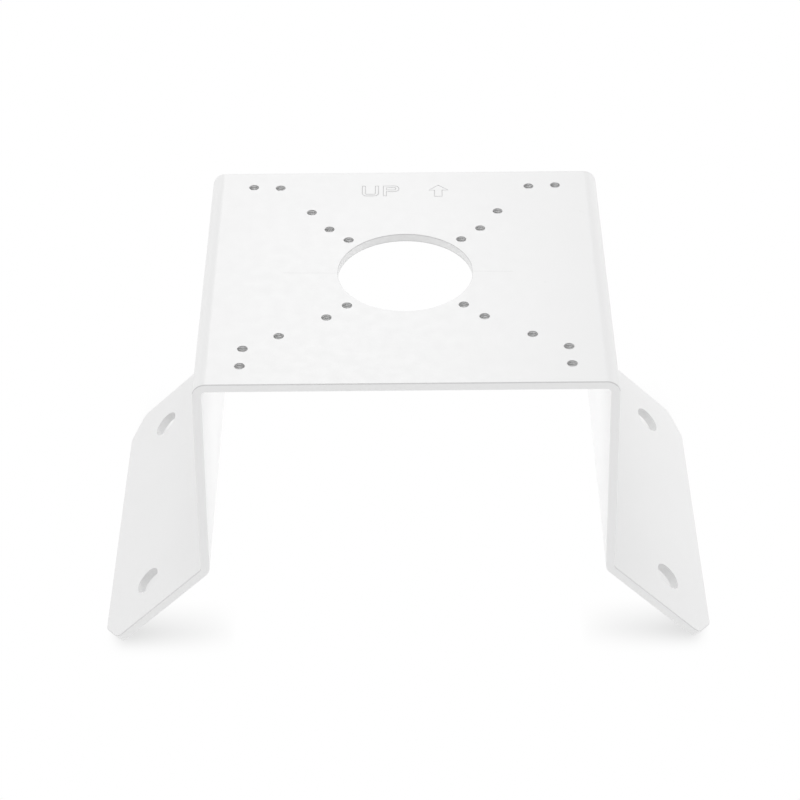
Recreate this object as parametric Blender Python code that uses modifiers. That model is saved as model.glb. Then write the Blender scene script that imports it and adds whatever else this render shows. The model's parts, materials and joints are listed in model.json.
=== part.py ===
"""Camera corner mount bracket: one steel sheet, cut, folded four times and powder coated white.

The plate lies level on top and carries the camera. A wing hangs from each of its long sides, and at
the foot of each wing a flange turns out at 45 degrees, so that the two flanges' inner faces stand
square to each other and close on the two walls of a building's outside corner.
Metres, +Z up. X runs across the folds, Y along them, and the flanges' lowest edges rest on Z = 0.
"""

from math import atan2, cos, pi, radians, sin, sqrt, tan

import bmesh
import bpy
from mathutils import Vector

# The sheet and its folds
SHEET = 0.0030
BEND_INSIDE_RADIUS = 0.0015
PLATE_WIDTH = 0.1348  # over the wings' outer faces, where they meet the plate
DEPTH = 0.1230
WING_HEIGHT = 0.0773  # from the plate's top face to the line where wing and flange meet
WING_LEAN = radians(1.1)  # each wing spreads a little from the vertical
FLANGE_TILT = radians(45)  # from the vertical
FLANGE_LENGTH = 0.0494  # from the line where wing and flange meet to the outer edge

# The flanges' corners, and the cut edges of the whole sheet
CORNER_CUT_ALONG = 0.0068  # taken off the end of the flange
CORNER_CUT_ACROSS = 0.0095  # taken off its outer edge
CORNER_RADIUS = 0.0040
EDGE_RADIUS = 0.0003

# Cable hole in the middle of the plate, with screw holes on its diagonals
CABLE_HOLE = 0.0450
SCREW_HOLE = 0.0033
RIM_WEB = 0.00286  # metal between the cable hole and the nearest screw holes
CIRCLE_STEP = 0.00935  # from the inner circle of screw holes to the outer one

# The other screw holes, each with its twin across the plate's middle
REAR_MIDDLE_HOLE = (0.0320, 0.03625)
FRONT_MIDDLE_HOLE = (0.04085, -0.03575)
REAR_INNER_INSET = (0.0241, 0.0096)  # from the wing's outer face, and from the plate's rear edge
REAR_OUTER_INSET = (0.0148, 0.0091)
FRONT_UPPER_INSET = (0.0152, 0.0190)  # from the wing's outer face, and from the plate's front edge
FRONT_LOWER_INSET = (0.0147, 0.0098)

# Two holes in each flange for the anchors in the wall
ANCHOR_HOLE = 0.0100
ANCHOR_INSET = (0.0206, 0.0180)  # from the flange's outer edge, and from its ends

# Facets
BEND_SEGMENTS = 8
CORNER_SEGMENTS = 4
EDGE_SEGMENTS = 2
CABLE_HOLE_SIDES = 96
ANCHOR_HOLE_SIDES = 40
SCREW_HOLE_SIDES = 24
CUT_EDGES_OVER = radians(45)  # the least turn at a cut edge, which is more than any in a bend
SMOOTH_UNDER = radians(30)
MERGE_DISTANCE = 0.00001

# The coat
COAT_COLOUR = (0.86, 0.86, 0.85, 1)
COAT_ROUGHNESS = 0.45

# Places that follow from the sizes above. The section's corners are where the outer faces would
# meet if the bends were sharp, with the plate's top face at height 0.
HALF_WIDTH = PLATE_WIDTH / 2
HALF_DEPTH = DEPTH / 2
FLANGE_ALONG = Vector((sin(FLANGE_TILT), 0, -cos(FLANGE_TILT)))
PLATE_CORNER = Vector((HALF_WIDTH, 0, 0))
FOLD_CORNER = Vector((HALF_WIDTH + WING_HEIGHT * tan(WING_LEAN), 0, -WING_HEIGHT))
FLANGE_EDGE = FOLD_CORNER + FLANGE_ALONG * FLANGE_LENGTH
LOWEST_CORNER = -FLANGE_EDGE.z + SHEET * sin(FLANGE_TILT)
REST_HEIGHT = LOWEST_CORNER - EDGE_RADIUS * (cos(FLANGE_TILT) + sin(FLANGE_TILT) - 1)
CUTTER_LENGTH = 4 * SHEET


def clear_scene():
    for obj in list(bpy.data.objects):
        bpy.data.objects.remove(obj, do_unlink=True)


def new_collection(name):
    collection = bpy.data.collections.new(name)
    bpy.context.scene.collection.children.link(collection)
    return collection


def white_powder_coat():
    material = bpy.data.materials.new("white_powder_coat")
    material.use_nodes = True
    shader = material.node_tree.nodes["Principled BSDF"]
    shader.inputs["Base Color"].default_value = COAT_COLOUR
    shader.inputs["Roughness"].default_value = COAT_ROUGHNESS
    shader.inputs["Metallic"].default_value = 0
    return material


def round_fold(sheet, corner, turn, radius):
    """Rounds the edge that runs along Y through corner, where the face turns by an angle."""
    folds = [
        edge
        for edge in sheet.edges
        if all((v.co.xz - corner.xz).length < MERGE_DISTANCE for v in edge.verts)
    ]
    bmesh.ops.bevel(
        sheet,
        geom=folds,
        offset=radius * tan(turn / 2),
        offset_type="OFFSET",
        segments=BEND_SEGMENTS,
        profile=0.5,
        affect="EDGES",
    )


def cut_flange_corner(sheet):
    """Takes the corner off the flange with a slanted cut, then rounds the two points it leaves."""
    outer_end = FLANGE_EDGE + Vector((0, HALF_DEPTH - CORNER_CUT_ACROSS, 0))
    end_edge = FLANGE_EDGE - FLANGE_ALONG * CORNER_CUT_ALONG + Vector((0, HALF_DEPTH, 0))
    outward = FLANGE_ALONG * CORNER_CUT_ACROSS + Vector((0, CORNER_CUT_ALONG, 0))
    bmesh.ops.bisect_plane(
        sheet,
        geom=sheet.verts[:] + sheet.edges[:] + sheet.faces[:],
        dist=MERGE_DISTANCE,
        plane_co=outer_end,
        plane_no=outward,
        clear_outer=True,
    )
    turn_at_outer_edge = atan2(CORNER_CUT_ALONG, CORNER_CUT_ACROSS)
    for point, turn in ((outer_end, turn_at_outer_edge), (end_edge, pi / 2 - turn_at_outer_edge)):
        bmesh.ops.bevel(
            sheet,
            geom=[v for v in sheet.verts if (v.co - point).length < MERGE_DISTANCE],
            offset=CORNER_RADIUS * tan(turn / 2),
            offset_type="OFFSET",
            segments=CORNER_SEGMENTS,
            profile=0.5,
            affect="VERTICES",
        )


def outer_face_quarter():
    """The sheet's outer face over one quarter of the bracket: half the plate, a wing and a flange."""
    sheet = bmesh.new()
    corners = (Vector((0, 0, 0)), PLATE_CORNER, FOLD_CORNER, FLANGE_EDGE)
    line = [sheet.verts.new(corner) for corner in corners]
    edges = [sheet.edges.new(pair) for pair in zip(line, line[1:])]
    drawn = bmesh.ops.extrude_edge_only(sheet, edges=edges)["geom"]
    far_side = [item for item in drawn if isinstance(item, bmesh.types.BMVert)]
    bmesh.ops.translate(sheet, verts=far_side, vec=(0, HALF_DEPTH, 0))
    round_fold(sheet, PLATE_CORNER, pi / 2 - WING_LEAN, BEND_INSIDE_RADIUS + SHEET)
    round_fold(sheet, FOLD_CORNER, FLANGE_TILT - WING_LEAN, BEND_INSIDE_RADIUS)
    cut_flange_corner(sheet)
    bmesh.ops.recalc_face_normals(sheet, faces=sheet.faces[:])
    if min(sheet.faces, key=lambda face: face.calc_center_median().x).normal.z < 0:
        bmesh.ops.reverse_faces(sheet, faces=sheet.faces[:])
    mesh = bpy.data.meshes.new("corner_bracket")
    sheet.to_mesh(mesh)
    sheet.free()
    return mesh


def folded_sheet(collection):
    """The whole blank in its folded form, still without holes."""
    bracket = bpy.data.objects.new("corner_bracket", outer_face_quarter())
    bracket.location.z = REST_HEIGHT
    collection.objects.link(bracket)
    mirror = bracket.modifiers.new("Both sides and ends", "MIRROR")
    mirror.use_axis = (True, True, False)
    mirror.merge_threshold = MERGE_DISTANCE
    thickness = bracket.modifiers.new("Sheet thickness", "SOLIDIFY")
    thickness.thickness = SHEET
    thickness.offset = -1
    thickness.use_even_offset = True
    edges = bracket.modifiers.new("Cut edges", "BEVEL")
    edges.width = EDGE_RADIUS
    edges.segments = EDGE_SEGMENTS
    edges.limit_method = "ANGLE"
    edges.angle_limit = CUT_EDGES_OVER
    return bracket


def drill(name, collection, diameter, centre, sides, tilt=0.0):
    """A round cutter through the sheet, with its axis along Z or tilted from it about Y."""
    bpy.ops.mesh.primitive_cylinder_add(
        vertices=sides, radius=diameter / 2, depth=CUTTER_LENGTH, location=centre, rotation=(0, tilt, 0)
    )
    cutter = bpy.context.object
    cutter.name = name
    cutter.data.shade_smooth()
    cutter.hide_render = True
    cutter.display_type = "WIRE"
    for owner in list(cutter.users_collection):
        owner.objects.unlink(cutter)
    collection.objects.link(cutter)


def screw_hole_places():
    """Places of the screw holes on the plate's right half, in X and Y."""
    inner_circle = CABLE_HOLE / 2 + RIM_WEB + SCREW_HOLE / 2
    outer_circle = inner_circle + CIRCLE_STEP
    places = [REAR_MIDDLE_HOLE, FRONT_MIDDLE_HOLE]
    for circle in (inner_circle, outer_circle):
        diagonal = circle / sqrt(2)
        places += [(diagonal, diagonal), (diagonal, -diagonal)]
    for from_side, from_rear in (REAR_INNER_INSET, REAR_OUTER_INSET):
        places.append((HALF_WIDTH - from_side, HALF_DEPTH - from_rear))
    for from_side, from_front in (FRONT_UPPER_INSET, FRONT_LOWER_INSET):
        places.append((HALF_WIDTH - from_side, from_front - HALF_DEPTH))
    return places


def drill_plate(collection):
    middle = REST_HEIGHT - SHEET / 2
    drill("cable_hole", collection, CABLE_HOLE, (0, 0, middle), CABLE_HOLE_SIDES)
    for x, y in screw_hole_places():
        for side in (-1, 1):
            drill("screw_hole", collection, SCREW_HOLE, (side * x, y, middle), SCREW_HOLE_SIDES)


def drill_flanges(collection):
    from_edge, from_end = ANCHOR_INSET
    outward = Vector((cos(FLANGE_TILT), 0, sin(FLANGE_TILT)))
    on_face = FLANGE_EDGE - FLANGE_ALONG * from_edge
    middle = on_face - outward * (SHEET / 2) + Vector((0, 0, REST_HEIGHT))
    for side in (-1, 1):
        for end in (-1, 1):
            centre = (side * middle.x, end * (HALF_DEPTH - from_end), middle.z)
            tilt = side * (pi / 2 - FLANGE_TILT)
            drill("anchor_hole", collection, ANCHOR_HOLE, centre, ANCHOR_HOLE_SIDES, tilt)


def cut_holes(bracket, cutters):
    holes = bracket.modifiers.new("Holes", "BOOLEAN")
    holes.operation = "DIFFERENCE"
    holes.operand_type = "COLLECTION"
    holes.collection = cutters


def finish(bracket):
    """Applies the modifiers, gives the sheet its coat and shades its bends and bores smooth."""
    solid = bpy.data.meshes.new_from_object(
        bracket.evaluated_get(bpy.context.evaluated_depsgraph_get())
    )
    bracket.modifiers.clear()
    bracket.data = solid
    solid.name = "corner_bracket"
    solid.shade_smooth()
    solid.set_sharp_from_angle(angle=SMOOTH_UNDER)
    solid.materials.clear()
    solid.materials.append(white_powder_coat())


def main():
    clear_scene()
    parts = new_collection("camera_corner_mount_bracket")
    cutters = new_collection("hole_cutters")
    bracket = folded_sheet(parts)
    drill_plate(cutters)
    drill_flanges(cutters)
    cut_holes(bracket, cutters)
    finish(bracket)


main()
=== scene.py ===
"""Looks of the camera corner mount bracket: a white powder-coated sheet bracket on a white studio floor.

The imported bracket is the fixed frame. A finer mesh of the same folded sheet stands for it, with
smooth bends, eased edges, threads in the screw holes and the engraved marks on the plate.
Metres, +Z up. X runs across the folds and Y along them.
"""

import json
from math import atan2, cos, pi, radians, sin, sqrt, tan

import bmesh
import bpy
from mathutils import Matrix, Vector

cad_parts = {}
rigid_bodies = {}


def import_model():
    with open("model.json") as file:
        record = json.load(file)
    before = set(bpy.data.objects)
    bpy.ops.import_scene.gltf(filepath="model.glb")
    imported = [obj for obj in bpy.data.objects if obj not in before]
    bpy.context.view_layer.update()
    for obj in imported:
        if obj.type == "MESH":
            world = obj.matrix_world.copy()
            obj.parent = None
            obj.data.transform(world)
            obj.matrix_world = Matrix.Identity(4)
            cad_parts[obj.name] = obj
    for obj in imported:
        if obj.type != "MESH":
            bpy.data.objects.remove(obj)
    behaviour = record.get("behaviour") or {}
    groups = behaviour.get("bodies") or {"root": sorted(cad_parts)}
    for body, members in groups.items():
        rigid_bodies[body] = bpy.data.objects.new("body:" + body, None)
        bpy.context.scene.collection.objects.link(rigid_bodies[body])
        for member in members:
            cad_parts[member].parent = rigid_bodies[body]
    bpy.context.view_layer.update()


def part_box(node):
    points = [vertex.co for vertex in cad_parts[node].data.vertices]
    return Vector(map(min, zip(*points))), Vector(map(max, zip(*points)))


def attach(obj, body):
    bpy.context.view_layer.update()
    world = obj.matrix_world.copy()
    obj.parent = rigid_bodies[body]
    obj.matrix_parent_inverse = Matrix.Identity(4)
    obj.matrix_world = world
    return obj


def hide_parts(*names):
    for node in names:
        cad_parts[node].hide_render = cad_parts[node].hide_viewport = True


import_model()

CAD_NODE = "corner_bracket"
HIGH_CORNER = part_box(CAD_NODE)[1]

# The sheet and its folds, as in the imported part
PLATE_TOP = HIGH_CORNER.z
HALF_DEPTH = HIGH_CORNER.y
SHEET = 0.0030
BEND_INSIDE_RADIUS = 0.0015
HALF_WIDTH = 0.0674  # to the wings' outer faces, where they meet the plate
WING_HEIGHT = 0.0773  # from the plate's top face to the line where wing and flange meet
WING_LEAN = radians(1.1)
FLANGE_TILT = radians(45)  # from the vertical
FLANGE_LENGTH = 0.0494
CORNER_CUT_ALONG = 0.0068
CORNER_CUT_ACROSS = 0.0095
CORNER_RADIUS = 0.0040
EDGE_RADIUS = 0.0003
CUT_EDGES_OVER = radians(45)  # the least turn at a cut edge, which is more than any in a bend

# The holes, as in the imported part
CABLE_HOLE = 0.0450
SCREW_HOLE = 0.0033
RIM_WEB = 0.00286
CIRCLE_STEP = 0.00935
REAR_MIDDLE_HOLE = (0.0320, 0.03625)
FRONT_MIDDLE_HOLE = (0.04085, -0.03575)
REAR_INNER_INSET = (0.0241, 0.0096)
REAR_OUTER_INSET = (0.0148, 0.0091)
FRONT_UPPER_INSET = (0.0152, 0.0190)
FRONT_LOWER_INSET = (0.0147, 0.0098)
ANCHOR_HOLE = 0.0100
ANCHOR_INSET = (0.0206, 0.0180)

# What the finer mesh adds
HOLE_EASING = 0.0001  # radius of the coat over a hole's rim
EASING_END = radians(80)  # the easing stops short of lying flat on the face
RIM_BAND = 0.0004  # how far down a hole's rim reaches
THREAD_PITCH = 0.0007
THREAD_DEPTH = 0.00038
THREAD_FLANK = 1.6  # how steeply the thread's form rises
THREAD_CREST = 0.3  # how much of that rise is cut off, which leaves a flat crest
THREAD_RUN_OUT = 0.0004  # the thread grows to its full depth over this, so that the mouth stays round
THREAD_CHAMFER = 0.00005
BEND_SEGMENTS = 24
CORNER_SEGMENTS = 12
EDGE_SEGMENTS = 4
EASING_SEGMENTS = 4
CABLE_HOLE_SIDES = 192
ANCHOR_HOLE_SIDES = 96
SCREW_HOLE_SIDES = 32
THREAD_ROWS = 6  # mesh rows in one pitch
CUTTER_REACH = 0.0008  # how far a cutter stands out of the sheet on each side
ROUND_PROFILE = 0.5  # a bevel's profile that is an arc
MERGE_DISTANCE = 0.00001
FINE_MERGE_DISTANCE = 0.000001  # for the cutters
SMOOTH_UNDER = radians(30)

# Places that follow from the sizes above, with the plate's top face at height 0
FLANGE_ALONG = Vector((sin(FLANGE_TILT), 0, -cos(FLANGE_TILT)))
FLANGE_OUTWARD = Vector((cos(FLANGE_TILT), 0, sin(FLANGE_TILT)))
PLATE_CORNER = Vector((HALF_WIDTH, 0, 0))
FOLD_CORNER = Vector((HALF_WIDTH + WING_HEIGHT * tan(WING_LEAN), 0, -WING_HEIGHT))
FLANGE_EDGE = FOLD_CORNER + FLANGE_ALONG * FLANGE_LENGTH

# The engraved marks, in X and Y on the plate
MARK_FRONT = 0.0464
MARK_REAR = 0.0527
MARK_STROKE = 0.00108  # width of a letter's limb
MARK_LINE = 0.00036  # width of the engraved line
MARK_DEPTH = 0.00020
MARK_CORNER = 0.0016
MARK_ARC_STEPS = 6
BAR_RESOLUTION = 3
U_LEFT, U_RIGHT = -0.01473, -0.0091
P_LEFT, P_RIGHT = -0.0074, -0.0020
P_BOWL_FRONT = 0.0491
ARROW_FRONT, ARROW_REAR = 0.0458, 0.0530
ARROW_TIP_X = 0.01175
ARROW_HEAD_HALF = 0.00335
ARROW_HEAD_FRONT = 0.0498
ARROW_STEM_HALF = 0.0013

# Faint wear on the plate: a line scribed on both sides of the cable hole, and three specks
SCRIBED_LINES = (((-0.0407, -0.0001), (-0.0225, -0.0005)), ((0.0225, 0.0000), (0.0359, -0.0003)))
SCRIBED_WIDTH = 0.00012
SCRIBED_DEPTH = 0.00002
SPECKS = ((0.0462, -0.0067), (0.0604, 0.0358), (0.0614, 0.0351))
SPECK_RADIUS = 0.00014
SPECK_DEPTH = 0.00006
SPECK_SUBDIVISIONS = 3

# Materials. Grains and heights are in metres. The darker coats are painted shade.
WHITE = (1, 1, 1, 1)
COAT_SHADE = 0.90
# The shades below are painted shade: on the upper cut edges, the cable hole's rim and bore, the anchor
# holes' bores, and the grooves and specks
PLATE_EDGE_PAINTED_SHADE = 0.69
FLANGE_EDGE_PAINTED_SHADE = 0.76
CABLE_RIM_PAINTED_SHADE = 0.66
CABLE_BORE_PAINTED_SHADE = 0.80
ANCHOR_BORE_PAINTED_SHADE = 0.76
GROOVE_PAINTED_SHADE = 0.72
COAT_SLOT, PAINTED_PLATE_EDGE_SLOT, PAINTED_FLANGE_EDGE_SLOT, PAINTED_CABLE_RIM_SLOT, PAINTED_CABLE_BORE_SLOT, PAINTED_ANCHOR_BORE_SLOT = range(6)
PLATE_EDGE_REACH = 0.0050  # edges no further than this below the plate's top face belong to the plate
FACES_UP = 0.12  # the least upward part of the normal where an edge gets painted shade
COAT_CHANGE = 0.004  # how far the shade strays,
COAT_CLOUD = 0.030  # and over what grain
COAT_ROUGHNESS = (0.29, 0.36)
COAT_PATCH = 0.004  # the roughness's grain
COAT_RELIEF = ((0.0016, 0.000010), (0.0004, 0.0000015))  # grain and height of each layer
STEEL_SHADE = 0.80
STEEL_CHANGE = 0.06
STEEL_GRAIN = 0.0003
STEEL_ROUGHNESS = (0.35, 0.50)
STEEL_RELIEF = ((0.0002, 0.000004),)
NOISE_LOW = 0.3  # most of a noise texture's values lie between these
NOISE_HIGH = 0.7

# The camera, fitted to the photograph
PHOTO_SIDE = 800
FOCAL_PIXELS = 2486.1
SENSOR_WIDTH = 36.0
CAMERA_AZIMUTH = radians(0.228)
CAMERA_ELEVATION = radians(37.626)
CAMERA_ROLL = radians(-0.624)
CAMERA_DISTANCE = 0.8280  # along the view, from the cable hole's centre
CABLE_HOLE_RIGHT = 0.00173  # where the cable hole's centre lies in the camera's own axes
CABLE_HOLE_UP = 0.04274

# The studio. White shows behind the object up to CYCLORAMA_TOP, and a soft grey ceiling above it.
WORLD_LIGHT = 0.744
CYCLORAMA_TOP = radians(14)
CEILING_FROM = radians(22)
CEILING = 0.45
FLOOR_SIDE = 8.0
FLOOR_ALBEDO = 0.7
TABLE_LIGHT = 0.3  # the table is lit a little from below

# The contact shadow, kept only around the feet. A fade goes from where none of it shows to where all does.
SHADOW_REACH = 0.030
SHADOW_SAMPLES = 16
SHADOW_STRENGTH = 0.43
SHADOW_INNER_FADE = (0.034, 0.058)  # it sets in on the way from the middle to the front
SHADOW_FRONT_FADE = (0.0655, 0.0500)  # and is gone a little before the front ends
SHADOW_REAR_FADE = (0.050, 0.058)  # it shows behind the rear ends,
SHADOW_REAR_ACROSS = (0.080, 0.088)  # but only behind the feet
SHADOW_SIDE_FADE = (0.1045, 0.0965)  # and nowhere beside them
SHADOW_DEEP = (0.36, 0.24)  # the openness at which it shows everywhere
SHADOW_DEEP_SHARE = 0.5
SHADOW_UNDER_FADE = (0.038, 0.030)  # under the flanges it shows behind this line
SHADOW_UNDER_ACROSS = (0.078, 0.086)
SHADOW_UNDER_SHARE = 0.65

# The softboxes: name, place, side, power and whether the gloss shows them
SOFTBOXES = (
    ("softbox_main", (-0.06, 1.00, 0.90), 0.36, 1.24, True),
    ("softbox_over", (-0.12, 0.10, 1.20), 0.9, 2.40, True),
    ("softbox_low_right", (0.32, 0.08, 0.03), 0.12, 0.067, False),
    ("fill_right_wing", (-0.055, 0.02, 0.05), 0.03, 0.022, False),
    ("fill_left_wing", (0.055, 0.02, 0.05), 0.03, 0.022, False),
)


def new_object(name, mesh):
    made = bpy.data.objects.new(name, mesh)
    bpy.context.scene.collection.objects.link(made)
    return made


def mesh_from(name, shape):
    mesh = bpy.data.meshes.new(name)
    shape.to_mesh(mesh)
    shape.free()
    return mesh


def round_fold(sheet, corner, turn, radius):
    """Rounds the edge that runs along Y through corner, where the face turns by an angle."""
    folds = [
        edge
        for edge in sheet.edges
        if all((v.co.xz - corner.xz).length < MERGE_DISTANCE for v in edge.verts)
    ]
    bmesh.ops.bevel(
        sheet,
        geom=folds,
        offset=radius * tan(turn / 2),
        offset_type="OFFSET",
        segments=BEND_SEGMENTS,
        profile=ROUND_PROFILE,
        affect="EDGES",
    )


def cut_flange_corner(sheet):
    """Takes the corner off the flange with a slanted cut, then rounds the two points it leaves."""
    outer_end = FLANGE_EDGE + Vector((0, HALF_DEPTH - CORNER_CUT_ACROSS, 0))
    end_edge = FLANGE_EDGE - FLANGE_ALONG * CORNER_CUT_ALONG + Vector((0, HALF_DEPTH, 0))
    bmesh.ops.bisect_plane(
        sheet,
        geom=sheet.verts[:] + sheet.edges[:] + sheet.faces[:],
        dist=MERGE_DISTANCE,
        plane_co=outer_end,
        plane_no=FLANGE_ALONG * CORNER_CUT_ACROSS + Vector((0, CORNER_CUT_ALONG, 0)),
        clear_outer=True,
    )
    turn_at_outer_edge = atan2(CORNER_CUT_ALONG, CORNER_CUT_ACROSS)
    for point, turn in ((outer_end, turn_at_outer_edge), (end_edge, pi / 2 - turn_at_outer_edge)):
        bmesh.ops.bevel(
            sheet,
            geom=[v for v in sheet.verts if (v.co - point).length < MERGE_DISTANCE],
            offset=CORNER_RADIUS * tan(turn / 2),
            offset_type="OFFSET",
            segments=CORNER_SEGMENTS,
            profile=ROUND_PROFILE,
            affect="VERTICES",
        )


def outer_face_quarter():
    """The sheet's outer face over one quarter of the bracket: half the plate, a wing and a flange."""
    sheet = bmesh.new()
    corners = (Vector((0, 0, 0)), PLATE_CORNER, FOLD_CORNER, FLANGE_EDGE)
    line = [sheet.verts.new(corner) for corner in corners]
    edges = [sheet.edges.new(pair) for pair in zip(line, line[1:])]
    drawn = bmesh.ops.extrude_edge_only(sheet, edges=edges)["geom"]
    far_side = [item for item in drawn if isinstance(item, bmesh.types.BMVert)]
    bmesh.ops.translate(sheet, verts=far_side, vec=(0, HALF_DEPTH, 0))
    round_fold(sheet, PLATE_CORNER, pi / 2 - WING_LEAN, BEND_INSIDE_RADIUS + SHEET)
    round_fold(sheet, FOLD_CORNER, FLANGE_TILT - WING_LEAN, BEND_INSIDE_RADIUS)
    cut_flange_corner(sheet)
    bmesh.ops.recalc_face_normals(sheet, faces=sheet.faces[:])
    if min(sheet.faces, key=lambda face: face.calc_center_median().x).normal.z < 0:
        bmesh.ops.reverse_faces(sheet, faces=sheet.faces[:])
    return mesh_from("powder_coated_sheet", sheet)


def folded_sheet():
    """The whole folded blank with eased edges, still without holes."""
    bracket = new_object("powder_coated_sheet", outer_face_quarter())
    bracket.location.z = PLATE_TOP
    mirror = bracket.modifiers.new("Both sides and ends", "MIRROR")
    mirror.use_axis = (True, True, False)
    mirror.merge_threshold = MERGE_DISTANCE
    thickness = bracket.modifiers.new("Sheet thickness", "SOLIDIFY")
    thickness.thickness = SHEET
    thickness.offset = -1
    thickness.use_even_offset = True
    edges = bracket.modifiers.new("Eased cut edges", "BEVEL")
    edges.width = EDGE_RADIUS
    edges.segments = EDGE_SEGMENTS
    edges.limit_method = "ANGLE"
    edges.angle_limit = CUT_EDGES_OVER
    edges.material = PAINTED_PLATE_EDGE_SLOT
    return bracket


def turned(profile, sides):
    """A closed turned solid about Z. The profile is radius and height, from the top down."""
    solid = bmesh.new()
    line = [solid.verts.new((radius, 0, height)) for radius, height in profile]
    edges = [solid.edges.new(pair) for pair in zip(line, line[1:])]
    bmesh.ops.spin(
        solid, geom=line + edges, axis=(0, 0, 1), cent=(0, 0, 0), steps=sides, angle=2 * pi,
        use_merge=True,
    )
    bmesh.ops.remove_doubles(solid, verts=solid.verts[:], dist=FINE_MERGE_DISTANCE)
    bmesh.ops.recalc_face_normals(solid, faces=solid.faces[:])
    return solid


def eased_rim(radius):
    """From over the sheet's top face down into the hole: a quarter round that opens outward, and the
    band of the bore below it."""
    points = []
    for step in range(EASING_SEGMENTS + 1):
        turn = EASING_END * (1 - step / EASING_SEGMENTS)
        points.append((
            radius + HOLE_EASING * (1 - cos(turn)),
            HOLE_EASING * (sin(turn) - 1),
        ))
    run_out = CUTTER_REACH * tan(EASING_END)
    top_radius, top_height = points[0]
    over_face = [(0, CUTTER_REACH), (top_radius + run_out, top_height + CUTTER_REACH)]
    return over_face + points + [(radius, -RIM_BAND)]


def plain_hole_cutter(name, diameter, sides, materials, rim_slot, bore_slot):
    """A bore through the sheet with both rims eased. Its middle is in the sheet's middle."""
    top = [(radius, height + SHEET / 2) for radius, height in eased_rim(diameter / 2)]
    bottom = [(radius, -height) for radius, height in reversed(top)]
    mesh = mesh_from(name, turned(top + bottom, sides))
    for material in materials:
        mesh.materials.append(material)
    for face in mesh.polygons:
        on_rim = abs(face.center.z) > SHEET / 2 - RIM_BAND
        face.material_index = rim_slot if on_rim else bore_slot
    return mesh


def thread_radius(height, turn):
    """Distance from the axis to an internal thread that runs out before each face of the sheet."""
    inward = SHEET / 2 - abs(height)
    wave = (height / THREAD_PITCH - turn) % 1
    flank = (1 - abs(2 * wave - 1)) * THREAD_FLANK - THREAD_CREST
    depth = THREAD_DEPTH * min(max(inward / THREAD_RUN_OUT, 0), 1)
    thread = SCREW_HOLE / 2 + depth * min(max(flank, 0), 1)
    mouth = SCREW_HOLE / 2 + THREAD_CHAMFER - inward
    return max(thread, mouth)


def close_helix_end(solid, turn, step):
    """Closes an end of the threaded core with a fan over its last turn and the step between turns."""
    rim = turn + step
    height = sum(vert.co.z for vert in rim) / len(rim)
    middle = solid.verts.new((0, 0, height))
    for first, second in zip(rim, rim[1:] + rim[:1]):
        solid.faces.new((first, second, middle))


def thread_cutter(name):
    """A threaded core whose mesh rows follow the helix. Its middle is in the sheet's middle."""
    solid = bmesh.new()
    reach = SHEET / 2 + CUTTER_REACH
    row_step = THREAD_PITCH / THREAD_ROWS
    rows = int(2 * reach / row_step) + 1
    grid = []
    for row in range(rows + THREAD_ROWS):
        ring = []
        for side in range(SCREW_HOLE_SIDES):
            turn = side / SCREW_HOLE_SIDES
            height = (row + turn * THREAD_ROWS) * row_step - reach - THREAD_PITCH / 2
            radius = thread_radius(height, turn)
            angle = 2 * pi * turn
            ring.append(solid.verts.new((radius * cos(angle), radius * sin(angle), height)))
        grid.append(ring)

    def at(row, side):
        return grid[row][side] if side < SCREW_HOLE_SIDES else grid[row + THREAD_ROWS][0]

    for row in range(rows - 1):
        for side in range(SCREW_HOLE_SIDES):
            corners = (at(row, side), at(row, side + 1), at(row + 1, side + 1), at(row + 1, side))
            solid.faces.new(corners)
    close_helix_end(solid, [at(0, side) for side in range(SCREW_HOLE_SIDES)],
                    [at(row, 0) for row in range(THREAD_ROWS, 0, -1)])
    close_helix_end(solid, [at(rows - 1, side) for side in range(SCREW_HOLE_SIDES)],
                    [at(row, 0) for row in range(rows - 1 + THREAD_ROWS, rows - 1, -1)])
    loose = [vert for vert in solid.verts if not vert.link_faces]
    bmesh.ops.delete(solid, geom=loose, context="VERTS")
    bmesh.ops.recalc_face_normals(solid, faces=solid.faces[:])
    return mesh_from(name, solid)


def screw_hole_places():
    """Places of the screw holes on the plate's right half, in X and Y."""
    inner_circle = CABLE_HOLE / 2 + RIM_WEB + SCREW_HOLE / 2
    outer_circle = inner_circle + CIRCLE_STEP
    places = [REAR_MIDDLE_HOLE, FRONT_MIDDLE_HOLE]
    for circle in (inner_circle, outer_circle):
        diagonal = circle / sqrt(2)
        places += [(diagonal, diagonal), (diagonal, -diagonal)]
    for from_side, from_rear in (REAR_INNER_INSET, REAR_OUTER_INSET):
        places.append((HALF_WIDTH - from_side, HALF_DEPTH - from_rear))
    for from_side, from_front in (FRONT_UPPER_INSET, FRONT_LOWER_INSET):
        places.append((HALF_WIDTH - from_side, from_front - HALF_DEPTH))
    return places


def new_cutter(cutters, mesh, place, tilt=0.0):
    cutter = bpy.data.objects.new(mesh.name, mesh)
    cutter.location = place
    cutter.rotation_euler.y = tilt
    cutters.objects.link(cutter)


def drill_plate(cutters, coats, steel):
    middle = PLATE_TOP - SHEET / 2
    cable_hole = plain_hole_cutter(
        "cable_hole", CABLE_HOLE, CABLE_HOLE_SIDES, coats, PAINTED_CABLE_RIM_SLOT, PAINTED_CABLE_BORE_SLOT
    )
    new_cutter(cutters, cable_hole, (0, 0, middle))
    thread = thread_cutter("screw_thread")
    thread.materials.append(steel)
    for x, y in screw_hole_places():
        for side in (-1, 1):
            new_cutter(cutters, thread, (side * x, y, middle))


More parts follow.
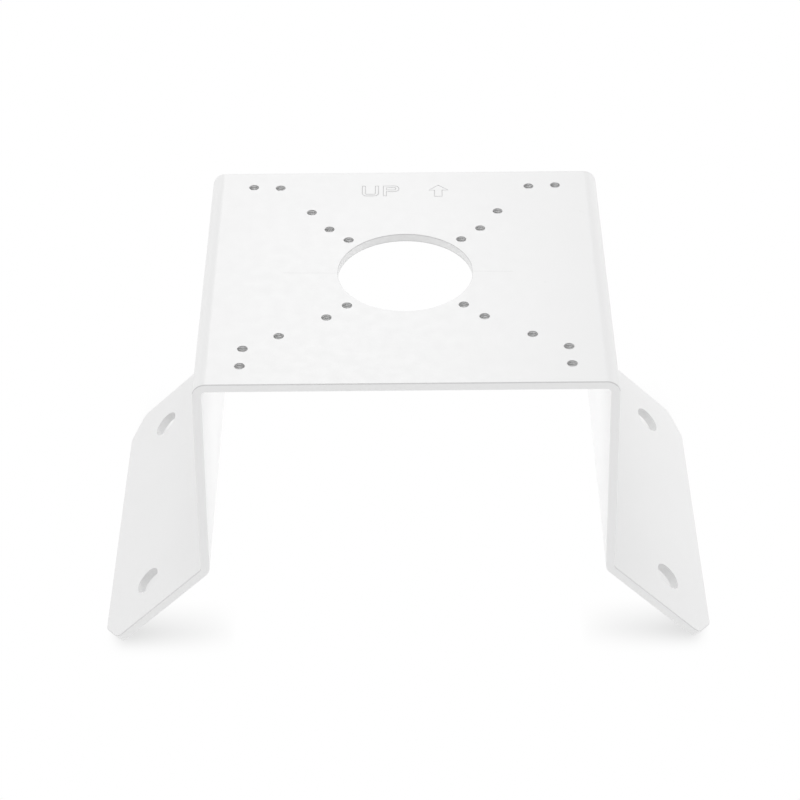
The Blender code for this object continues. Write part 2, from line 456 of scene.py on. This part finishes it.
def drill_flanges(cutters, coats):
    from_edge, from_end = ANCHOR_INSET
    on_face = FLANGE_EDGE - FLANGE_ALONG * from_edge
    middle = on_face - FLANGE_OUTWARD * (SHEET / 2) + Vector((0, 0, PLATE_TOP))
    anchor_hole = plain_hole_cutter(
        "anchor_hole", ANCHOR_HOLE, ANCHOR_HOLE_SIDES, coats, PAINTED_ANCHOR_BORE_SLOT, PAINTED_ANCHOR_BORE_SLOT
    )
    for side in (-1, 1):
        for end in (-1, 1):
            centre = (side * middle.x, end * (HALF_DEPTH - from_end), middle.z)
            new_cutter(cutters, anchor_hole, centre, side * (pi / 2 - FLANGE_TILT))


def rounded_path(corners):
    """A closed line through corners given as X, Y and a rounding radius, with arcs at the rounded ones."""
    path = []
    for index, (x, y, radius) in enumerate(corners):
        corner = Vector((x, y))
        if not radius:
            path.append(corner)
            continue
        before = (Vector(corners[index - 1][:2]) - corner).normalized()
        after = (Vector(corners[(index + 1) % len(corners)][:2]) - corner).normalized()
        half_angle = before.angle(after) / 2
        centre = corner + (before + after).normalized() * (radius / sin(half_angle))
        start = corner + before * (radius / tan(half_angle)) - centre
        end = corner + after * (radius / tan(half_angle)) - centre
        turn = start.angle_signed(end)
        for step in range(MARK_ARC_STEPS + 1):
            share = turn * step / MARK_ARC_STEPS
            # a Vector's signed angle runs clockwise
            path.append(centre + Matrix.Rotation(-share, 2) @ start)
    return path


def letter_u():
    left, right, front, rear = U_LEFT, U_RIGHT, MARK_FRONT, MARK_REAR
    inner = MARK_CORNER - MARK_STROKE
    return [rounded_path((
        (left, rear, 0),
        (left, front, MARK_CORNER),
        (right, front, MARK_CORNER),
        (right, rear, 0),
        (right - MARK_STROKE, rear, 0),
        (right - MARK_STROKE, front + MARK_STROKE, inner),
        (left + MARK_STROKE, front + MARK_STROKE, inner),
        (left + MARK_STROKE, rear, 0),
    ))]


def letter_p():
    left, right, front, rear = P_LEFT, P_RIGHT, MARK_FRONT, MARK_REAR
    stem = left + MARK_STROKE
    inner = MARK_CORNER - MARK_STROKE
    outline = rounded_path((
        (left, front, 0),
        (left, rear, 0),
        (right, rear, MARK_CORNER),
        (right, P_BOWL_FRONT, MARK_CORNER),
        (stem, P_BOWL_FRONT, 0),
        (stem, front, 0),
    ))
    counter = rounded_path((
        (stem, rear - MARK_STROKE, 0),
        (right - MARK_STROKE, rear - MARK_STROKE, inner),
        (right - MARK_STROKE, P_BOWL_FRONT + MARK_STROKE, inner),
        (stem, P_BOWL_FRONT + MARK_STROKE, 0),
    ))
    return [outline, counter]


def arrow():
    tip, head, stem = ARROW_TIP_X, ARROW_HEAD_HALF, ARROW_STEM_HALF
    return [rounded_path((
        (tip, ARROW_REAR, 0),
        (tip + head, ARROW_HEAD_FRONT, 0),
        (tip + stem, ARROW_HEAD_FRONT, 0),
        (tip + stem, ARROW_FRONT, 0),
        (tip - stem, ARROW_FRONT, 0),
        (tip - stem, ARROW_HEAD_FRONT, 0),
        (tip - head, ARROW_HEAD_FRONT, 0),
    ))]


def bar_along(path, radius, closed):
    """A round bar along a path of X and Y, with its axis at height 0."""
    curve = bpy.data.curves.new("bar", "CURVE")
    curve.dimensions = "3D"
    line = curve.splines.new("POLY")
    line.points.add(len(path) - 1)
    for point, place in zip(line.points, path):
        point.co = (place[0], place[1], 0, 1)
    line.use_cyclic_u = closed
    curve.bevel_depth = radius
    curve.bevel_resolution = BAR_RESOLUTION
    curve.use_fill_caps = not closed
    guide = new_object("bar", curve)
    mesh = bpy.data.meshes.new_from_object(
        guide.evaluated_get(bpy.context.evaluated_depsgraph_get())
    )
    bpy.data.objects.remove(guide)
    bar = bmesh.new()
    bar.from_mesh(mesh)
    bmesh.ops.remove_doubles(bar, verts=bar.verts[:], dist=FINE_MERGE_DISTANCE)
    bmesh.ops.recalc_face_normals(bar, faces=bar.faces[:])
    return bar


def groove(cutters, name, path, width, depth, material, closed=True):
    """Cuts a round-bottomed groove of this width and depth into the plate's top face."""
    radius = (width ** 2 / 4 + depth ** 2) / (2 * depth)
    mesh = mesh_from(name, bar_along(path, radius, closed))
    mesh.materials.clear()
    mesh.materials.append(material)
    new_cutter(cutters, mesh, (0, 0, PLATE_TOP + radius - depth))


def engrave_marks(cutters, material):
    for path in letter_u() + letter_p() + arrow():
        groove(cutters, "mark", path, MARK_LINE, MARK_DEPTH, material)


def wear_plate(cutters, material):
    for line in SCRIBED_LINES:
        groove(cutters, "scribed_line", line, SCRIBED_WIDTH, SCRIBED_DEPTH, material, closed=False)
    radius = (SPECK_RADIUS ** 2 + SPECK_DEPTH ** 2) / (2 * SPECK_DEPTH)
    ball = bmesh.new()
    bmesh.ops.create_icosphere(ball, subdivisions=SPECK_SUBDIVISIONS, radius=radius)
    speck = mesh_from("speck", ball)
    speck.materials.append(material)
    for x, y in SPECKS:
        new_cutter(cutters, speck, (x, y, PLATE_TOP + radius - SPECK_DEPTH))


def cut(bracket, cutters):
    holes = bracket.modifiers.new("Holes and marks", "BOOLEAN")
    holes.operation = "DIFFERENCE"
    holes.operand_type = "COLLECTION"
    holes.collection = cutters
    holes.material_mode = "TRANSFER"


def bake_modifiers(bracket):
    solid = bpy.data.meshes.new_from_object(
        bracket.evaluated_get(bpy.context.evaluated_depsgraph_get())
    )
    bracket.modifiers.clear()
    bracket.data = solid


def paint_edge_shade(bracket):
    """Keeps the painted shade on the plate's edges that face up, and gives the flanges' edges a painted
    shade of their own.
    """
    lowest_of_plate = PLATE_TOP - PLATE_EDGE_REACH - bracket.location.z
    for face in bracket.data.polygons:
        if face.material_index != PAINTED_PLATE_EDGE_SLOT:
            continue
        if face.normal.z < FACES_UP:
            face.material_index = COAT_SLOT
        elif face.center.z < lowest_of_plate:
            face.material_index = PAINTED_FLANGE_EDGE_SLOT


def finish_mesh(bracket, cutters):
    """Keeps the cut mesh alone and shades it smooth, with the large flat faces' own normals."""
    bake_modifiers(bracket)
    paint_edge_shade(bracket)
    bracket.data.shade_smooth()
    bracket.data.set_sharp_from_angle(angle=SMOOTH_UNDER)
    flats = bracket.modifiers.new("Flat faces stay flat", "WEIGHTED_NORMAL")
    flats.keep_sharp = True
    bake_modifiers(bracket)
    for cutter in list(cutters.objects):
        bpy.data.objects.remove(cutter)
    bpy.data.collections.remove(cutters)


def shader_of(name):
    """A new material with its node tree and its principled shader."""
    material = bpy.data.materials.new(name)
    material.use_nodes = True
    return material, material.node_tree, material.node_tree.nodes["Principled BSDF"]


def noise(tree, grain):
    """Noise in the object's own coordinates, with grains of about this size in metres."""
    place = tree.nodes.new("ShaderNodeTexCoord")
    texture = tree.nodes.new("ShaderNodeTexNoise")
    texture.inputs["Scale"].default_value = 1 / grain
    tree.links.new(place.outputs["Object"], texture.inputs["Vector"])
    return texture.outputs["Fac"]


def spread(tree, value, low, high):
    """Turns noise into values from about low to high."""
    scale = tree.nodes.new("ShaderNodeMapRange")
    scale.inputs["From Min"].default_value = NOISE_LOW
    scale.inputs["From Max"].default_value = NOISE_HIGH
    scale.inputs["To Min"].default_value = low
    scale.inputs["To Max"].default_value = high
    tree.links.new(value, scale.inputs["Value"])
    return scale.outputs[0]


def grey(tree, shader, value, shade, change):
    """A neutral colour around a shade that changes a little from place to place."""
    colour = tree.nodes.new("ShaderNodeCombineColor")
    level = spread(tree, value, shade - change, shade + change)
    for channel in ("Red", "Green", "Blue"):
        tree.links.new(level, colour.inputs[channel])
    tree.links.new(colour.outputs["Color"], shader.inputs["Base Color"])


def bumps(tree, shader, layers):
    """Fine relief from layers of noise, each with its grain and height in metres."""
    under = None
    for grain, height in layers:
        bump = tree.nodes.new("ShaderNodeBump")
        bump.inputs["Strength"].default_value = 1.0
        bump.inputs["Distance"].default_value = height
        tree.links.new(noise(tree, grain), bump.inputs["Height"])
        if under:
            tree.links.new(under, bump.inputs["Normal"])
        under = bump.outputs["Normal"]
    tree.links.new(under, shader.inputs["Normal"])


def powder_coat(name, shade):
    """White powder coat with its slight orange peel. A lower shade is painted shade on edges, rims, bores
    and grooves.
    """
    material, tree, shader = shader_of(name)
    grey(tree, shader, noise(tree, COAT_CLOUD), shade, COAT_CHANGE)
    roughness = spread(tree, noise(tree, COAT_PATCH), *COAT_ROUGHNESS)
    tree.links.new(roughness, shader.inputs["Roughness"])
    bumps(tree, shader, COAT_RELIEF)
    return material


def thread_steel():
    """Bare steel of the tapped threads, with cutting marks too fine to model."""
    material, tree, shader = shader_of("thread_steel")
    grey(tree, shader, noise(tree, STEEL_GRAIN), STEEL_SHADE, STEEL_CHANGE)
    roughness = spread(tree, noise(tree, STEEL_GRAIN), *STEEL_ROUGHNESS)
    tree.links.new(roughness, shader.inputs["Roughness"])
    shader.inputs["Metallic"].default_value = 1
    bumps(tree, shader, STEEL_RELIEF)
    return material


def calculate(tree, operation, first, second):
    """A maths node. Each input is another node's output or a number."""
    node = tree.nodes.new("ShaderNodeMath")
    node.operation = operation
    for socket, value in zip(node.inputs, (first, second)):
        if isinstance(value, (int, float)):
            socket.default_value = value
        else:
            tree.links.new(value, socket)
    return node.outputs[0]


def product(tree, first, second):
    return calculate(tree, "MULTIPLY", first, second)


def larger(tree, first, second):
    return calculate(tree, "MAXIMUM", first, second)


def seen_rays(tree):
    """1 for rays from the camera, and for those that a gloss or a clear surface sends on, or else 0."""
    path = tree.nodes.new("ShaderNodeLightPath")
    seen = path.outputs["Is Camera Ray"]
    for kind in ("Is Glossy Ray", "Is Transmission Ray"):
        seen = larger(tree, seen, path.outputs[kind])
    return seen


def white_world():
    world = bpy.data.worlds.new("white_studio")
    bpy.context.scene.world = world
    world.use_nodes = True
    tree = world.node_tree
    tree.nodes.clear()
    direction = tree.nodes.new("ShaderNodeTexCoord")
    height = tree.nodes.new("ShaderNodeSeparateXYZ")
    tree.links.new(direction.outputs["Generated"], height.inputs[0])
    brightness = tree.nodes.new("ShaderNodeMapRange")
    brightness.inputs["From Min"].default_value = sin(CYCLORAMA_TOP)
    brightness.inputs["From Max"].default_value = sin(CEILING_FROM)
    brightness.inputs["To Min"].default_value = 1.0
    brightness.inputs["To Max"].default_value = CEILING
    tree.links.new(height.outputs["Z"], brightness.inputs["Value"])
    seen = tree.nodes.new("ShaderNodeBackground")
    seen.inputs["Color"].default_value = WHITE
    tree.links.new(brightness.outputs[0], seen.inputs["Strength"])
    light = tree.nodes.new("ShaderNodeBackground")
    light.inputs["Color"].default_value = WHITE
    light.inputs["Strength"].default_value = WORLD_LIGHT
    mix = tree.nodes.new("ShaderNodeMixShader")
    tree.links.new(seen_rays(tree), mix.inputs[0])
    tree.links.new(light.outputs[0], mix.inputs[1])
    tree.links.new(seen.outputs[0], mix.inputs[2])
    output = tree.nodes.new("ShaderNodeOutputWorld")
    tree.links.new(mix.outputs[0], output.inputs["Surface"])


def fade(tree, value, none, full):
    """Rises softly from 0 to 1 as value goes from one limit to the other."""
    ramp = tree.nodes.new("ShaderNodeMapRange")
    ramp.interpolation_type = "SMOOTHSTEP"
    ramp.inputs["From Min"].default_value = min(none, full)
    ramp.inputs["From Max"].default_value = max(none, full)
    ramp.inputs["To Min"].default_value = float(none > full)
    ramp.inputs["To Max"].default_value = float(none < full)
    tree.links.new(value, ramp.inputs["Value"])
    return ramp.outputs[0]


def contact_shadow(tree):
    """How much light the floor loses under and around the bracket's feet."""
    near = tree.nodes.new("ShaderNodeAmbientOcclusion")
    near.inputs["Distance"].default_value = SHADOW_REACH
    near.samples = SHADOW_SAMPLES
    openness = near.outputs["AO"]
    place = tree.nodes.new("ShaderNodeTexCoord")
    axes = tree.nodes.new("ShaderNodeSeparateXYZ")
    tree.links.new(place.outputs["Object"], axes.inputs[0])
    rearward = axes.outputs["Y"]
    frontward = product(tree, rearward, -1)
    across = calculate(tree, "ABSOLUTE", axes.outputs["X"], 0)
    side = fade(tree, across, *SHADOW_SIDE_FADE)
    front = product(
        tree, fade(tree, frontward, *SHADOW_INNER_FADE), fade(tree, frontward, *SHADOW_FRONT_FADE)
    )
    rear = product(
        tree, fade(tree, rearward, *SHADOW_REAR_FADE), fade(tree, across, *SHADOW_REAR_ACROSS)
    )
    ends = product(tree, larger(tree, front, rear), side)
    deep = product(tree, fade(tree, openness, *SHADOW_DEEP), SHADOW_DEEP_SHARE)
    under = product(
        tree, fade(tree, frontward, *SHADOW_UNDER_FADE), fade(tree, across, *SHADOW_UNDER_ACROSS)
    )
    under = product(tree, product(tree, under, side), SHADOW_UNDER_SHARE)
    shown = larger(tree, larger(tree, ends, deep), under)
    depth = product(tree, calculate(tree, "SUBTRACT", 1, openness), SHADOW_STRENGTH)
    return product(tree, depth, shown)


def white_floor():
    """A matt white table. It is seen as white with a contact shadow, whatever light falls on it."""
    floor_mesh = bmesh.new()
    bmesh.ops.create_grid(floor_mesh, x_segments=1, y_segments=1, size=FLOOR_SIDE / 2)
    floor = new_object("floor", mesh_from("floor", floor_mesh))
    material = bpy.data.materials.new("white_floor")
    material.use_nodes = True
    tree = material.node_tree
    tree.nodes.clear()
    bounce = tree.nodes.new("ShaderNodeBsdfDiffuse")
    bounce.inputs["Color"].default_value = (FLOOR_ALBEDO, FLOOR_ALBEDO, FLOOR_ALBEDO, 1)
    table = tree.nodes.new("ShaderNodeEmission")
    table.inputs["Strength"].default_value = TABLE_LIGHT
    lights = tree.nodes.new("ShaderNodeAddShader")
    tree.links.new(bounce.outputs[0], lights.inputs[0])
    tree.links.new(table.outputs[0], lights.inputs[1])
    seen = tree.nodes.new("ShaderNodeEmission")
    tree.links.new(calculate(tree, "SUBTRACT", 1, contact_shadow(tree)), seen.inputs["Strength"])
    mix = tree.nodes.new("ShaderNodeMixShader")
    tree.links.new(seen_rays(tree), mix.inputs[0])
    tree.links.new(lights.outputs[0], mix.inputs[1])
    tree.links.new(seen.outputs[0], mix.inputs[2])
    output = tree.nodes.new("ShaderNodeOutputMaterial")
    tree.links.new(mix.outputs[0], output.inputs["Surface"])
    floor.data.materials.append(material)


def softbox(name, place, side, power, in_gloss):
    """A square area lamp that faces the bracket and doesn't show in the picture."""
    lamp = bpy.data.lights.new(name, "AREA")
    lamp.size = side
    lamp.energy = power
    box = new_object(name, lamp)
    box.location = place
    box.rotation_mode = "QUATERNION"
    towards = Vector((0, 0, PLATE_TOP / 2)) - Vector(place)
    box.rotation_quaternion = towards.to_track_quat("-Z", "Y")
    box.visible_camera = False
    box.visible_glossy = in_gloss


def studio_light():
    """The softboxes. Two small ones between the wings keep the wings' inner faces nearly white."""
    for lamp in SOFTBOXES:
        softbox(*lamp)


def photo_camera():
    """The camera of the photograph: its axes from three turns, its place from the cable hole's."""
    back = Vector((
        sin(CAMERA_AZIMUTH) * cos(CAMERA_ELEVATION),
        -cos(CAMERA_AZIMUTH) * cos(CAMERA_ELEVATION),
        sin(CAMERA_ELEVATION),
    ))
    level_right = Vector((cos(CAMERA_AZIMUTH), sin(CAMERA_AZIMUTH), 0))
    level_up = back.cross(level_right)
    right = level_right * cos(CAMERA_ROLL) + level_up * sin(CAMERA_ROLL)
    up = level_up * cos(CAMERA_ROLL) - level_right * sin(CAMERA_ROLL)
    place = Vector((0, 0, PLATE_TOP)) + back * CAMERA_DISTANCE
    place -= right * CABLE_HOLE_RIGHT + up * CABLE_HOLE_UP
    lens = bpy.data.cameras.new("photo_camera")
    lens.sensor_width = SENSOR_WIDTH
    lens.lens = FOCAL_PIXELS * SENSOR_WIDTH / PHOTO_SIDE
    camera = new_object("photo_camera", lens)
    turned_axes = Matrix((right, up, back)).transposed().to_4x4()
    camera.matrix_world = Matrix.Translation(place) @ turned_axes
    bpy.context.scene.camera = camera


def main():
    bpy.context.scene.view_settings.view_transform = "Standard"
    coats = [
        powder_coat("powder_coat", COAT_SHADE),
        # painted shade along the plate's upper cut edges
        powder_coat("plate_edge_painted_shade", PLATE_EDGE_PAINTED_SHADE),
        # painted shade along the flanges' upper cut edges
        powder_coat("flange_edge_painted_shade", FLANGE_EDGE_PAINTED_SHADE),
        # painted shade on the cable hole's rim
        powder_coat("cable_rim_painted_shade", CABLE_RIM_PAINTED_SHADE),
        # painted shade in the cable hole's bore
        powder_coat("cable_bore_painted_shade", CABLE_BORE_PAINTED_SHADE),
        # painted shade in the anchor holes' bores and rims
        powder_coat("anchor_bore_painted_shade", ANCHOR_BORE_PAINTED_SHADE),
    ]
    # painted shade in the engraved marks, the scribed lines and the specks
    groove_shade_coat = powder_coat("engraved_groove_painted_shade", GROOVE_PAINTED_SHADE)
    bracket = folded_sheet()
    for coat in coats:
        bracket.data.materials.append(coat)
    cutters = bpy.data.collections.new("cutters")
    bpy.context.scene.collection.children.link(cutters)
    drill_plate(cutters, coats, thread_steel())
    drill_flanges(cutters, coats)
    engrave_marks(cutters, groove_shade_coat)
    wear_plate(cutters, groove_shade_coat)
    cut(bracket, cutters)
    finish_mesh(bracket, cutters)
    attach(bracket, "root")
    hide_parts(CAD_NODE)
    white_world()
    white_floor()
    studio_light()
    photo_camera()


main()
